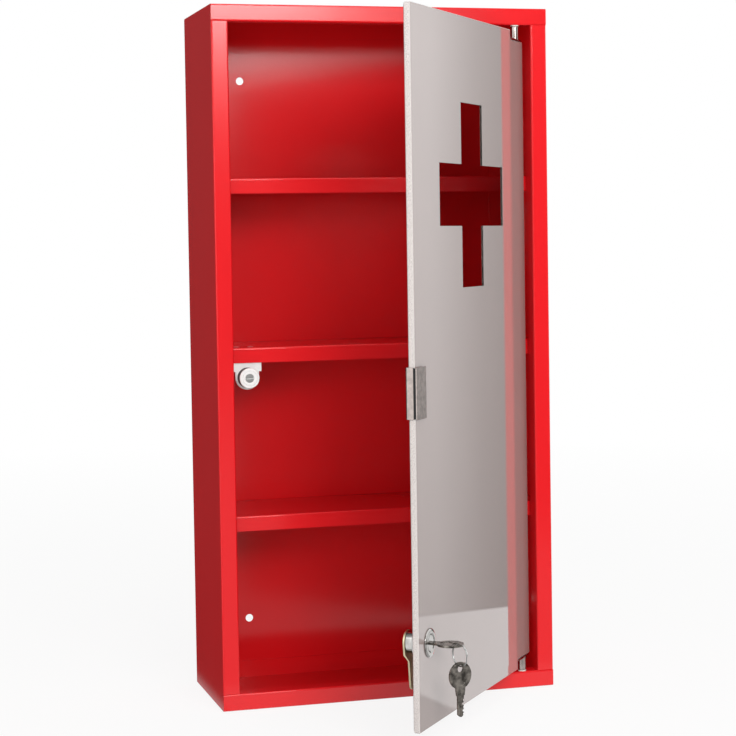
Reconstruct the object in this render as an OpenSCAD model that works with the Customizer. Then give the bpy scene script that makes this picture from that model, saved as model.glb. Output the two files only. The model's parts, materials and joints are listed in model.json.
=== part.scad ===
// Wall-hung lockable medicine cabinet: folded steel body, three shelves, glass door with a cam lock.
// Origin: centre of the four wall holes, on the back of the cabinet. +Z up, the door faces -Y.

/* [Cabinet body] */
// Width of the cabinet
cab_w = 300; // [280:1:400]
// Height of the cabinet
cab_h = 600; // [560:1:700]
// Depth of the cabinet
cab_d = 120; // [110:1:160]
// Thickness of the steel sheet
sheet = 1; // [0.8:0.1:1.3]
// Width of the frame's face round the door opening
face_w = 14.5; // [13:0.5:20]
// Depth of the fold that turns back into the cabinet from the face
return_d = 14; // [10:0.5:14.5]
// Height of the flanges that hold the back panel
rear_lip = 16; // [12:0.5:20]
// Outer radius of a fold
fold_r = 1.5; // [1.4:0.1:2]

/* [Shelves] */
// Height of the lowest shelf's top above the cabinet's bottom
shelf_first = 164; // [120:1:170]
// Distance from one shelf to the next
shelf_pitch = 145; // [125:1:150]
// Height of a shelf's front lip
shelf_lip = 13; // [10:0.5:15]
// Distance of the shelves behind the front of the cabinet
shelf_back = 17; // [17:0.5:24]
// Height of the flanges at a shelf's ends and rear
shelf_flange = 12; // [8:0.5:14]

/* [Wall holes] */
// Diameter of a wall hole
wall_hole_d = 7; // [5:0.5:9]
// Distance between the holes, across
wall_hole_w = 200; // [160:5:220]
// Distance between the holes, upright
wall_hole_h = 490; // [440:5:510]

/* [Door] */
// Thickness of the glass
glass_t = 5; // [4:0.5:6]
// Gap beside the glass on the hinge side
gap_hinge = 1.5; // [1.3:0.1:2.5]
// Gap beside the glass on the lock side
gap_lock = 2.5; // [2.3:0.1:3.5]
// Gap above and below the glass
gap_ends = 5.5; // [5:0.5:8]
// Distance of the closed glass behind the frame's front
glass_back = 1; // [0.5:0.5:1.5]
// Radius of the glass's outer corners
glass_corner = 2; // [1:0.5:4]
// Width of the ground edge round the glass
arris = 0.6; // [0.3:0.1:0.8]
// How far the door stands open, in degrees
door_open = 50.7; // [0:0.1:110]

/* [Frosted film] */
// Thickness of the film
film_t = 0.2; // [0.1:0.05:0.4]
// Clear border between the film and the glass's edge
film_border = 0.8; // [0.8:0.1:4]
// Height and width of the cross
cross_size = 150; // [100:1:160]
// Width of the cross's arms
cross_arm = 50; // [30:1:60]
// Height of the cross's centre above the cabinet's bottom
cross_h = 435; // [400:1:450]

/* [Pivot hinges] */
// Distance of the pivot from the glass's hinge edge
pivot_in = 12; // [10:0.5:12]
// Distance of the pivot behind the frame's front
pivot_back = 4; // [3.6:0.1:4.2]
// Diameter of the pivot pin
pin_d = 4; // [3:0.25:4]
// Width of the notch in the glass's corner
notch_w = 32; // [28:1:40]
// Height of the notch
notch_h = 8.6; // [8:0.2:12]
// Radius of the notch's inner corner
notch_r = 2.5; // [1:0.5:2.5]
// Diameter of the hinge's barrel
barrel_d = 7; // [6.5:0.1:7]
// Thickness of the hinge's leaf and foot
leaf_t = 1.5; // [1:0.1:1.8]
// Height of the leaf on the glass
leaf_h = 24; // [16:1:40]
// Thickness of the glue pad under the leaf
pad_t = 0.4; // [0.3:0.1:0.6]

/* [Edge clip] */
// Height of the clip
clip_h = 40; // [30:1:60]
// Width of the clip on the glass
clip_w = 19; // [14:0.5:24]
// Thickness of the clip's steel
clip_t = 1.2; // [1:0.1:1.4]
// Thickness of the liner on the faces of the glass
liner_t = 1.2; // [0.6:0.1:1.2]
// Distance of the clip's centre below the top of the middle shelf
clip_drop = 26.7; // [26:0.1:40]

/* [Magnetic catch] */
// Diameter of the magnet
magnet_d = 17.5; // [14:0.5:18]
// Distance of the magnet's centre from the edge of the closed glass
magnet_in = 12.8; // [11:0.1:13]
// Gap between the magnet and the clip when the door is shut
magnet_gap = 0.3; // [0.3:0.1:1]
// Thickness of the catch's bracket
bracket_t = 1.2; // [1:0.1:1.6]
// Width of the bracket
bracket_w = 25; // [22:0.5:26]
// Length of the bracket's foot under the shelf
bracket_foot = 24; // [20:1:40]

/* [Lock] */
// Distance of the lock's axis from the free edge of the glass
lock_edge = 23; // [22:0.5:26]
// Height of the lock's axis above the cabinet's bottom
lock_z = 86.3; // [70:0.1:100]
// Diameter of the lock's rim
rim_d = 22.7; // [21:0.1:26]
// Thickness of the rim
rim_t = 1.2; // [1.1:0.1:1.8]
// Diameter of the lock's housing
housing_d = 18.4; // [17:0.1:18.6]
// Length of the housing behind the front of the glass
housing_l = 17; // [17:0.5:19]
// Diameter of the plug
plug_d = 13; // [11:0.5:13]
// Length of the cam from the lock's axis
cam_l = 37.5; // [34:0.5:38]
// Width of the cam at its tip
cam_tip = 10; // [8:0.5:12]
// Thickness of the cam
cam_t = 1.6; // [1.2:0.1:1.8]
// How far the cam is cranked towards the glass
cam_crank = 3.4; // [2:0.1:3.6]

/* [Keys] */
// Diameter of a key's bow
bow_d = 21; // [20:0.5:22]
// Thickness of a key
key_t = 1.7; // [1.5:0.1:1.8]
// Distance between the bow and the lock
neck_l = 5.6; // [5:0.1:6.5]
// Width of a key's blade
blade_w = 5.8; // [5:0.1:6.5]
// Length of a key from its bow to its tip
blade_l = 21.6; // [20.5:0.1:22.5]
// Diameter of the round hole in the spare key's bow, and height of the oval one in the other's
bow_hole_d = 5.6; // [5.5:0.1:5.8]
// Width of the oval hole in the bow of the key in the lock
bow_slot_w = 9; // [9:0.1:9.4]
// Distance of a hole's centre from the end of the bow
bow_hole_in = 5.2; // [5.1:0.1:5.3]
// Outer diameter of the key ring
ring_d = 19; // [18.5:0.5:20]
// Diameter of the ring's wire
ring_wire = 1.4; // [1.2:0.1:1.5]
// Angle between the key and the plane of the ring
ring_turn = 31.6; // [28:0.2:36]

/* [Hidden] */
$fn = 48;

// Colours
red = "#d8242c";
steel = "#c9ccce";
nickel = "#8e8a84";
brass = "#b8a878";
frost = "#c4bdb8";
clear = "#a9c4bd";
white = "#efefec";
black = "#26282a";

// Clearances
eps = 0.02;
seat_gap = 0.3;
running = 0.05;
slot_gap = 0.3;

// The cabinet runs from z_low to z_high and from the front plane y_front to the back plane y = 0
z_low = -cab_h / 2;
z_high = cab_h / 2;
y_front = -cab_d;
y_rear = -sheet;
open_half = cab_w / 2 - face_w;
inner_half = cab_w / 2 - sheet;

// The glass, shut: from x_lock to x_hinge, from glass_low to glass_high, from glass_out to glass_in
x_hinge = open_half - gap_hinge;
x_lock = -open_half + gap_lock;
glass_low = z_low + face_w + gap_ends;
glass_high = z_high - face_w - gap_ends;
glass_out = y_front + glass_back;
glass_in = glass_out + glass_t;
pivot_x = x_hinge - pivot_in;
pivot_y = y_front + pivot_back;

// Pivot hinges
bush_flange_t = 0.8;
bush_flange_d = barrel_d;
bush_body_d = pin_d + 1.6;
bush_l = 3;
pin_l = 16.5;
foot_z = glass_low + notch_h - seat_gap;
barrel_low = z_low + face_w + bush_flange_t + 0.2;
leaf_x = x_hinge - 3;
leaf_w = notch_w - 5;
fit = 0.02;

// Edge clip
clip_end = liner_t * 0.3;
clip_centre_z = z_low + shelf_first + shelf_pitch - clip_drop;
clip_back = glass_in + liner_t + clip_t;
clip_screw_d = 4;
clip_screw_pitch = 20;
clip_bend = 0.4;
clip_slit = 0.6;

// Shelves, their tops
shelf_tops = [for (i = [0:2]) z_low + shelf_first + i * shelf_pitch];
shelf_front = y_front + shelf_back;
shelf_rear = y_rear - sheet;

// Magnetic catch, on the bracket under the middle shelf, behind its lip
tab_y = shelf_front + sheet + seat_gap;
tab_top = shelf_tops[1] - sheet;
magnet_x = x_lock + magnet_in;
magnet_z = clip_centre_z + 1;
magnet_l = tab_y - clip_back - magnet_gap;
tab_r = magnet_d / 2 + 1.6;
catch_screw_d = 4;

// Lock
lock_x = x_lock + lock_edge;
lock_zz = z_low + lock_z;
seal_t = 0.3;
washer_t = 1;
nut_y = glass_in + film_t + washer_t;
nut_t = 4.5;
nut_af = housing_d + 3.6;
washer_d = rim_d - 0.8;
housing_front = glass_out - seal_t - rim_t;
housing_end = glass_out + housing_l;
plug_front = housing_front + 0.4;
plug_end = housing_end + seat_gap;
tail_w = 7;
tail_end = plug_end + cam_t + 0.1;
cam_hub_d = 18;
cam_screw_d = 4;
slot_w = key_t + slot_gap;
slot_h = blade_w + slot_gap;
slot_end = plug_end - 0.8;
wafer_t = 1.2;
wafer_w = 6.4;

// Keys: the ring hangs beside the middle of the oval hole, so that it can swing out by 60 degrees
bow_r = bow_d / 2;
bow_centre = plug_front - neck_l - bow_r;
hole_off = bow_r - bow_hole_in;
bitting = [0.9, 1.7, 0.6, 1.4, 1.0];
bit_first = 3.2;
bit_pitch = (blade_l - neck_l - 5.4) / 4;
ring_r = (ring_d - ring_wire) / 2;
ring_out = 6.7;
ring_side = 2.3;
ring_lift = 0.85;
ring_top_z = lock_zz + key_t / 2 + ring_lift + ring_wire / 2;
ring_centre_z = ring_top_z - ring_r;
ring_low_z = ring_centre_z - ring_r;
ring_dir = [-sin(ring_turn), -cos(ring_turn)];
ring_at = [lock_x, bow_centre - hole_off] + ring_out * ring_dir + ring_side * [ring_dir[1], -ring_dir[0]];
spare_hole_z = ring_low_z + ring_wire / 2 + seat_gap - bow_hole_d / 2;

// ---------- Folded sheet ----------

function unit(v) = v / norm(v);
// Quarter turn of radius r at corner p, coming from a and going on to b
function quarter(p, a, b, r, n = 4) = let (ua = unit(a - p), ub = unit(b - p), c = p + r * (ua + ub))
    [for (i = [0:n]) c - r * (cos(90 * i / n) * ub + sin(90 * i / n) * ua)];
// Strip of thickness t and width w, folded square and always inwards at the corners of the path p
module strip(p, t, r, w) {
    n = len(p) - 1;
    for (i = [0:n - 1]) {
        u = unit(p[i + 1] - p[i]);
        inward = i < n - 1 ? unit(p[i + 2] - p[i + 1]) : unit(p[i - 1] - p[i]);
        a = p[i] + (i > 0 ? r : 0) * u;
        b = p[i + 1] - (i < n - 1 ? r : 0) * u + t * inward;
        low = [min(a[0], b[0]), min(a[1], b[1])];
        translate(low) linear_extrude(w) square([max(a[0], b[0]), max(a[1], b[1])] - low);
    }
    for (i = [1:n - 1]) {
        ua = unit(p[i - 1] - p[i]);
        ub = unit(p[i + 1] - p[i]);
        low = [min(-ua[0] - ub[0], 0), min(-ua[1] - ub[1], 0)];
        translate(p[i] + r * (ua + ub)) linear_extrude(w) intersection() {
            difference() {
                circle(r);
                circle(r - t);
            }
            translate(2 * r * low) square(2 * r);
        }
    }
}

// Strip folded in plan along a path in X and Y, standing from z0 to z1
module upright(p, t, r, z0, z1) {
    translate([0, 0, z0]) strip(p, t, r, z1 - z0);
}
// Strip folded along a path in Y and Z, lying across the cabinet from x0 to x1
module across(p, t, r, x0, x1) {
    translate([x0, 0, 0]) rotate([90, 0, 90]) strip(p, t, r, x1 - x0);
}
module box(low, high) {
    translate(low) cube(high - low);
}
// Cylinder along Y, from y0 to y1
module along_y(d, y0, y1, fn = 48) {
    translate([0, y0, 0]) rotate([-90, 0, 0]) cylinder(d = d, h = y1 - y0, $fn = fn);
}

// ---------- Cabinet body ----------

// Left side: return, face and wall in one fold, and the flange for the back panel
module side_panel() {
    half = cab_w / 2;
    upright([[-open_half, y_front + return_d], [-open_half, y_front], [-half, y_front], [-half, y_rear]],
        sheet, fold_r, z_low + face_w, z_high - face_w);
    box([-half, y_front + sheet, z_low + sheet], [-inner_half, y_rear, z_high - sheet]);
    box([-half, y_rear - sheet, z_low + rear_lip], [-half + rear_lip, y_rear, z_high - rear_lip]);
}
module left_side() {
    color(red) side_panel();
}
module right_side() {
    color(red) mirror([1, 0, 0]) side_panel();
}

// Bottom: the face and the sheet run over the full width, the return and rear lip between the sides
module end_panel() {
    half = cab_w / 2;
    difference() {
        across([[y_front + return_d, z_low + face_w], [y_front, z_low + face_w], [y_front, z_low],
            [y_rear, z_low], [y_rear, z_low + rear_lip]], sheet, fold_r, -half, half);
        for (s = [-1, 1])
            box([min(s * half, s * inner_half) - eps * (1 - s) / 2, y_front + sheet, z_low + sheet],
                [max(s * half, s * inner_half) + eps * (1 + s) / 2, 1, z_low + rear_lip + 1]);
        translate([pivot_x, pivot_y, z_low + face_w - sheet - 1])
            cylinder(d = bush_body_d + 2 * running, h = sheet + 2);
    }
}
module bottom_panel() {
    color(red) end_panel();
}
module top_panel() {
    color(red) mirror([0, 0, 1]) end_panel();
}

module back_panel() {
    color(red) difference() {
        box([-cab_w / 2 + 0.5, -sheet, z_low + 0.5], [cab_w / 2 - 0.5, 0, z_high - 0.5]);
        for (x = [-1, 1], z = [-1, 1])
            translate([x * wall_hole_w / 2, 0, z * wall_hole_h / 2])
                along_y(wall_hole_d, -sheet - 1, 1);
    }
}

// ---------- Shelves ----------

module shelf(top) {
    difference() {
        union() {
            across([[shelf_front, top - shelf_lip], [shelf_front, top], [shelf_rear, top],
                [shelf_rear, top - shelf_flange]], sheet, fold_r, -inner_half, inner_half);
            for (s = [-1, 1])
                box([min(s * inner_half, s * (inner_half - sheet)), shelf_front + fold_r, top - shelf_flange],
                    [max(s * inner_half, s * (inner_half - sheet)), shelf_rear - fold_r, top - eps]);
        }
        children();
    }
}
module shelf_lower() {
    color(red) shelf(shelf_tops[0]);
}
module shelf_middle() {
    color(red) shelf(shelf_tops[1]) bracket_holes();
}
module shelf_upper() {
    color(red) shelf(shelf_tops[2]);
}

// ---------- Magnetic catch ----------

// Holes for the bracket's screws, sunk into the shelf's top
module bracket_holes() {
    for (x = [-1, 1])
        translate([magnet_x + x * bracket_w / 4, tab_y + bracket_foot * 0.6, 0]) {
            translate([0, 0, tab_top - bracket_t - 1])
                cylinder(d = 3.4, h = sheet + bracket_t + 2, $fn = 24);
            translate([0, 0, tab_top + 0.1]) cylinder(d1 = 3.4, d2 = 6.2, h = sheet, $fn = 24);
        }
}
module catch_bracket() {
    color(white) difference() {
        union() {
            across([[tab_y, magnet_z + tab_r / 2], [tab_y, tab_top], [tab_y + bracket_foot, tab_top]],
                bracket_t, bracket_t + 0.5, magnet_x - bracket_w / 2, magnet_x + bracket_w / 2);
            translate([magnet_x, 0, magnet_z]) along_y(2 * tab_r, tab_y, tab_y + bracket_t);
            box([magnet_x - tab_r, tab_y, magnet_z], [magnet_x + tab_r, tab_y + bracket_t, magnet_z + tab_r]);
        }
        bracket_holes();
        translate([magnet_x, 0, magnet_z]) along_y(catch_screw_d + 0.3, tab_y - 1, tab_y + bracket_t + 1);
    }
}
module catch_magnet() {
    y0 = tab_y - magnet_l;
    color(white) translate([magnet_x, 0, magnet_z]) difference() {
        rotate([-90, 0, 0]) translate([0, 0, y0]) rotate_extrude()
            polygon([[0, 0], [magnet_d / 2 - 0.8, 0], [magnet_d / 2, 0.8], [magnet_d / 2, magnet_l],
                [0, magnet_l]]);
        along_y(catch_screw_d + 0.3, y0 - 1, tab_y + 1);
        rotate([-90, 0, 0]) translate([0, 0, y0 - eps])
            cylinder(d1 = 8.4, d2 = catch_screw_d + 0.3, h = 2.2);
        // Ring groove between the pole and the pot
        rotate([-90, 0, 0]) translate([0, 0, y0 - eps]) difference() {
            cylinder(d = magnet_d - 4, h = 0.5);
            translate([0, 0, -1]) cylinder(d = magnet_d - 5.6, h = 3);
        }
    }
}
module catch_screw() {
    y0 = tab_y - magnet_l + 0.2;
    color(steel) translate([magnet_x, 0, magnet_z]) difference() {
        union() {
            rotate([-90, 0, 0]) translate([0, 0, y0]) cylinder(d1 = 7.6, d2 = catch_screw_d, h = 2);
            along_y(catch_screw_d, y0 + 1.9, tab_y + bracket_t + 4.6);
        }
        box([-5, y0 - 1, -0.5], [5, y0 + 0.9, 0.5]);
    }
}
module catch_nut() {
    color(steel) translate([magnet_x, 0, magnet_z]) difference() {
        along_y(8.1, tab_y + bracket_t, tab_y + bracket_t + 3.2, 6);
        along_y(catch_screw_d + 0.1, tab_y, tab_y + bracket_t + 4);
    }
}
// Two flush screws through the shelf and the bracket's foot, with nuts below
module bracket_screws() {
    color(steel) for (x = [-1, 1])
        translate([magnet_x + x * bracket_w / 4, tab_y + bracket_foot * 0.6, 0]) {
            translate([0, 0, tab_top + 0.1]) cylinder(d1 = 3, d2 = 5.4, h = sheet - 0.1, $fn = 24);
            translate([0, 0, tab_top - bracket_t - 3]) cylinder(d = 3, h = bracket_t + 3.2, $fn = 24);
            translate([0, 0, tab_top - bracket_t - 2.2]) cylinder(d = 6, h = 2.2, $fn = 6);
        }
}

// ---------- Door ----------

// Turns what is drawn shut to where the door stands
module opened() {
    translate([pivot_x, pivot_y, 0]) rotate([0, 0, door_open]) translate([-pivot_x, -pivot_y, 0]) children();
}

// Outline of the glass in X and Z, drawn in by e: two rounded corners and two notches
function glass_outline(e) = let (
    lock_side = x_lock + e, hinge_side = x_hinge - e, low = glass_low + e, high = glass_high - e,
    nx = x_hinge - notch_w - e, nz_low = glass_low + notch_h + e, nz_high = glass_high - notch_h - e)
    concat(
        quarter([lock_side, high], [lock_side, low], [nx, high], glass_corner),
        [[nx, high]],
        quarter([nx, nz_high], [nx, high], [hinge_side, nz_high], notch_r),
        [[hinge_side, nz_high], [hinge_side, nz_low]],
        quarter([nx, nz_low], [hinge_side, nz_low], [nx, low], notch_r),
        [[nx, low]],
        quarter([lock_side, low], [nx, low], [lock_side, high], glass_corner));

// A plate in the plane of the glass, from y0 to y1
module pane(y0, y1) {
    translate([0, y1, 0]) rotate([90, 0, 0]) linear_extrude(y1 - y0) children();
}

module door_glass() {
    color(clear) opened() difference() {
        union() {
            pane(glass_out + arris, glass_in - arris) polygon(glass_outline(0));
            pane(glass_out + arris / 2, glass_in - arris / 2) polygon(glass_outline(arris / 2));
            pane(glass_out, glass_in) polygon(glass_outline(arris));
        }
        translate([lock_x, 0, lock_zz]) along_y(housing_d + 0.6, glass_out - 1, glass_in + 1);
    }
}

module frosted_film() {
    color(frost) opened() difference() {
        pane(glass_in, glass_in + film_t) polygon(glass_outline(film_border));
        pane(glass_in - 1, glass_in + 1) {
            translate([(x_hinge + x_lock) / 2, z_low + cross_h]) {
                square([cross_size, cross_arm], center = true);
                square([cross_arm, cross_size], center = true);
            }
            translate([lock_x, lock_zz]) circle(d = housing_d + 1.2);
        }
    }
}

// ---------- Edge clip ----------

// One leg behind the glass, folded round its edge, and a plate on the front of the liner
module edge_clip() {
    x0 = x_lock - clip_end - clip_t;
    x1 = x_lock + clip_w - 1;
    low = clip_centre_z - clip_h / 2;
    high = clip_centre_z + clip_h / 2;
    color(steel) opened() {
        difference() {
            upright([[x0, glass_out + clip_slit], [x0, clip_back], [x1, clip_back]],
                clip_t, clip_t + clip_bend, low, high);
            clip_screw_places() along_y(clip_screw_d + 2 * running, -1, clip_t + 1);
        }
        box([x0, glass_out - liner_t - clip_t, low], [x1, glass_out - liner_t, high]);
    }
}
module clip_screw_places() {
    for (s = [-1, 1])
        translate([x_lock + clip_w / 2, clip_back - clip_t, clip_centre_z + s * clip_screw_pitch / 2])
            children();
}
module clip_liner() {
    x0 = x_lock - clip_end;
    x1 = x_lock + clip_w - 1.4;
    slit_x = x0 - clip_t + 0.3;
    y0 = glass_out - liner_t;
    y1 = glass_in + liner_t;
    color(black) opened() translate([0, 0, clip_centre_z - clip_h / 2 + 0.5]) linear_extrude(clip_h - 1)
        polygon([[x1, y0], [x1, glass_out], [x_lock, glass_out], [x_lock, glass_in + film_t],
            [x1, glass_in + film_t], [x1, y1], [x0 + clip_bend, y1], [x0, y1 - clip_bend],
            [x0, glass_out + clip_slit], [slit_x, glass_out + clip_slit], [slit_x, y0]]);
}
module clip_screws() {
    color(nickel) opened() clip_screw_places() difference() {
        along_y(clip_screw_d, 0, clip_t, 24);
        along_y(2.2, clip_t - 1, clip_t + 1, 6);
    }
}

// ---------- Pivot hinges ----------

// Lower hinge: leaf on the inner face of the glass, foot in the notch, barrel below the foot
module hinge_leaf() {
    leaf_front = glass_in + film_t + pad_t;
    difference() {
        union() {
            across([[glass_out, foot_z - leaf_t], [leaf_front + leaf_t, foot_z - leaf_t],
                [leaf_front + leaf_t, glass_low + notch_h + leaf_h]], leaf_t, leaf_t + 0.5,
                leaf_x - leaf_w, leaf_x);
            translate([pivot_x, pivot_y, barrel_low]) rotate_extrude()
                polygon([[0, 0], [barrel_d / 2 - 0.4, 0], [barrel_d / 2, 0.4],
                    [barrel_d / 2, foot_z - leaf_t / 2 - barrel_low], [0, foot_z - leaf_t / 2 - barrel_low]]);
        }
        translate([pivot_x, pivot_y, barrel_low - 1])
            cylinder(d = pin_d + 2 * fit, h = foot_z - barrel_low + 2);
    }
}
module lower_hinge_leaf() {
    color(steel) opened() hinge_leaf();
}
module upper_hinge_leaf() {
    color(steel) opened() mirror([0, 0, 1]) hinge_leaf();
}
module both_ends() {
    for (s = [0, 1]) mirror([0, 0, s]) children();
}
module hinge_pads() {
    color(clear) opened() both_ends()
        box([leaf_x - leaf_w + 1, glass_in + film_t, glass_low + notch_h + 1],
            [leaf_x - 1, glass_in + film_t + pad_t, glass_low + notch_h + leaf_h - 1]);
}
module hinge_pins() {
    color(steel) opened() both_ends()
        translate([pivot_x, pivot_y, foot_z - pin_l]) rotate_extrude()
            polygon([[0, 0], [pin_d / 2 - 0.5, 0], [pin_d / 2, 0.5], [pin_d / 2, pin_l], [0, pin_l]]);
}
module hinge_bushes() {
    seat = z_low + face_w;
    color(white) both_ends() translate([pivot_x, pivot_y, 0]) rotate_extrude()
        polygon([[pin_d / 2 + running, seat - bush_l], [bush_body_d / 2, seat - bush_l],
            [bush_body_d / 2, seat], [bush_flange_d / 2, seat],
            [bush_flange_d / 2, seat + bush_flange_t], [pin_d / 2 + running, seat + bush_flange_t]]);
}

// ---------- Lock ----------

module at_lock() {
    opened() translate([lock_x, 0, lock_zz]) children();
}
// Turns a profile of radius and depth, drawn shut, about the lock's axis
module lathe() {
    rotate([-90, 0, 0]) rotate_extrude() children();
}
module lock_housing() {
    bore = plug_d / 2 + running;
    back_flange = glass_out - seal_t;
    color(steel) at_lock() difference() {
        lathe() polygon([[bore, housing_front + 1.1], [bore + 1.2, housing_front],
            [rim_d / 2 - 2.4, housing_front], [rim_d / 2 - 0.8, housing_front + 0.35],
            [rim_d / 2, housing_front + 0.9], [rim_d / 2, back_flange], [housing_d / 2, back_flange],
            [housing_d / 2, housing_end - 0.5], [housing_d / 2 - 0.5, housing_end], [bore, housing_end]]);
        // Flats that key the housing, behind the glass
        for (s = [-1, 1])
            box([s > 0 ? housing_d / 2 - 0.9 : -housing_d / 2 - 1, nut_y + nut_t + 0.5, -15],
                [s > 0 ? housing_d / 2 + 1 : -housing_d / 2 + 0.9, housing_end + 1, 15]);
    }
}
module lock_seal() {
    color(black) at_lock() difference() {
        along_y(rim_d - 0.6, glass_out - seal_t, glass_out);
        along_y(housing_d + 0.1, glass_out - 1, glass_out + 1);
    }
}
module lock_washer() {
    color(black) at_lock() difference() {
        along_y(washer_d, nut_y - washer_t, nut_y);
        along_y(housing_d + 0.1, nut_y - 2, nut_y + 1);
    }
}
module lock_nut() {
    color(steel) at_lock() difference() {
        intersection() {
            rotate([0, 30, 0]) along_y(nut_af / cos(30), nut_y, nut_y + nut_t, 6);
            lathe() polygon([[0, nut_y], [nut_af / 2 + 0.4, nut_y], [nut_af / 2 + 1.9, nut_y + 0.8],
                [nut_af / 2 + 1.9, nut_y + nut_t - 0.8], [nut_af / 2 + 0.4, nut_y + nut_t],
                [0, nut_y + nut_t]]);
        }
        along_y(housing_d + 0.05, nut_y - 1, nut_y + nut_t + 1);
    }
}
// Places of the five wafers along the plug
function wafer_y(i) = plug_front + bit_first - 0.7 + i * bit_pitch;
module lock_plug() {
    color(nickel) at_lock() difference() {
        union() {
            lathe() polygon([[0, plug_front], [plug_d / 2 - 0.5, plug_front], [plug_d / 2, plug_front + 0.5],
                [plug_d / 2, plug_end], [0, plug_end]]);
            box([-tail_w / 2, plug_end - 1, -tail_w / 2], [tail_w / 2, tail_end, tail_w / 2]);
        }
        box([-slot_h / 2, plug_front - 1, -slot_w / 2], [slot_h / 2, slot_end, slot_w / 2]);
        for (i = [0:4])
            box([-plug_d, wafer_y(i), -wafer_w / 2 - 0.1],
                [plug_d, wafer_y(i) + wafer_t + 0.2, wafer_w / 2 + 0.1]);
        along_y(cam_screw_d - 0.7, tail_end - 2, tail_end + 1, 24);
    }
}
// Brass wafers, each with a window for the key's blade
module lock_wafers() {
    half = sqrt(pow(plug_d / 2 - 0.25, 2) - pow(wafer_w / 2, 2));
    color(brass) at_lock() for (i = [0:4]) difference() {
        box([-half, wafer_y(i) + 0.1, -wafer_w / 2], [half, wafer_y(i) + 0.1 + wafer_t, wafer_w / 2]);
        box([-slot_h / 2, wafer_y(i) - 1, -slot_w / 2], [slot_h / 2, wafer_y(i) + 3, slot_w / 2]);
    }
}
// Cam: a hub on the plug's square tail, cranked towards the glass, and a tapered blade
module lock_cam() {
    y0 = plug_end + 0.05;
    hub_r = cam_hub_d / 2;
    bend_start = hub_r + 0.5;
    bend_len = cam_crank * 1.3;
    tip_z = -cam_l + cam_tip / 2;
    color(steel) at_lock() difference() {
        intersection() {
            // Side view of the cranked strip
            rotate([90, 0, 90]) translate([0, 0, -hub_r - 1]) linear_extrude(2 * hub_r + 2)
                polygon([[y0, hub_r], [y0 + cam_t, hub_r], [y0 + cam_t, -bend_start - 0.5],
                    [y0 + cam_t - cam_crank, -bend_start - bend_len],
                    [y0 + cam_t - cam_crank, -cam_l], [y0 - cam_crank, -cam_l],
                    [y0 - cam_crank, -bend_start - bend_len - 0.5], [y0, -bend_start]]);
            // Face view: round hub, tapered blade, round tip
            union() {
                along_y(cam_hub_d, y0 - cam_crank - 1, y0 + cam_t + 1);
                translate([0, 0, tip_z]) along_y(cam_tip, y0 - cam_crank - 1, y0 + cam_t + 1);
                pane(y0 - cam_crank - 1, y0 + cam_t + 1)
                    polygon([[-hub_r, 0], [hub_r, 0], [cam_tip / 2, tip_z], [-cam_tip / 2, tip_z]]);
            }
        }
        box([-tail_w / 2 - 0.05, y0 - 1, -tail_w / 2 - 0.05], [tail_w / 2 + 0.05, y0 + 3, tail_w / 2 + 0.05]);
    }
}
module cam_screw() {
    y0 = plug_end + 0.05 + cam_t + 0.1;
    color(steel) at_lock() difference() {
        union() {
            lathe() polygon([[0, y0], [5.4, y0], [5.4, y0 + 0.8], [4.4, y0 + 1.6], [0, y0 + 2]]);
            along_y(cam_screw_d - 0.8, tail_end - 1.8, y0 + 0.1, 24);
        }
        box([-6, y0 + 1.1, -0.5], [6, y0 + 3, 0.5]);
        box([-0.5, y0 + 1.1, -6], [0.5, y0 + 3, 6]);
    }
}

// ---------- Keys ----------

// A key in the plane of X and Y: centre of the bow at the origin, the blade along +Y
function bite(i) = let (y = bow_r + neck_l + bit_first + i * bit_pitch, x = blade_w / 2)
    [[x, y - bit_pitch * 0.45], [x - bitting[i], y - 0.4], [x - bitting[i], y + 0.4]];
// hole_w is the width of the hole in the bow
module key_blank(hole_w) {
    tip = bow_r + blade_l;
    stop = bow_r + neck_l - seat_gap;
    half = blade_w / 2;
    translate([0, 0, -key_t / 2]) difference() {
        union() {
            cylinder(r = bow_r, h = key_t);
            linear_extrude(key_t) polygon([[-half - 1.9, bow_r - 3], [half + 1.9, bow_r - 3],
                [half + 0.9, stop - 0.6], [half + 0.4, stop], [-half - 0.4, stop], [-half - 0.9, stop - 0.6]]);
            linear_extrude(key_t) polygon(concat([[half, 5], [-half, 5], [-half, tip - 1.8], [-0.8, tip],
                [0.8, tip], [half - 0.6, tip - 1.4]], [for (i = [4:-1:0]) for (j = [2:-1:0]) bite(i)[j]]));
        }
        for (x = hole_w > bow_hole_d ? [-1, 1] : [0])
            translate([x * (hole_w - bow_hole_d) / 2, -hole_off, -1]) cylinder(d = bow_hole_d, h = key_t + 2);
        if (hole_w > bow_hole_d)
            translate([-(hole_w - bow_hole_d) / 2, -hole_off - bow_hole_d / 2, -1])
                cube([hole_w - bow_hole_d, bow_hole_d, key_t + 2]);
    }
}
module key(hole_w) {
    difference() {
        key_blank(hole_w);
        // Milled groove along each side of the blade, and a sunk panel in each side of the bow
        for (s = [-1, 1]) {
            box([-1.4, bow_r + 1, s > 0 ? key_t / 2 - 0.35 : -key_t],
                [-0.4, bow_r + blade_l + 1, s > 0 ? key_t : -key_t / 2 + 0.35]);
            translate([0, 3, s * key_t / 2]) cylinder(d = 9.5, h = 0.5, center = true);
        }
    }
}
module key_in_lock() {
    color(nickel) at_lock() translate([0, bow_centre, 0]) key(bow_slot_w);
}
module key_ring() {
    color(steel) opened() translate([ring_at[0], ring_at[1], ring_centre_z])
        rotate([90, 0, atan2(ring_dir[1], ring_dir[0])])
            rotate_extrude($fn = 72) translate([ring_r, 0]) circle(d = ring_wire, $fn = 24);
}
module spare_key() {
    color(nickel) opened() translate([ring_at[0], ring_at[1], spare_hole_z - hole_off])
        rotate([90, 0, atan2(ring_dir[1], ring_dir[0]) - 90]) rotate([0, 0, 180]) key(bow_hole_d);
}

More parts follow.
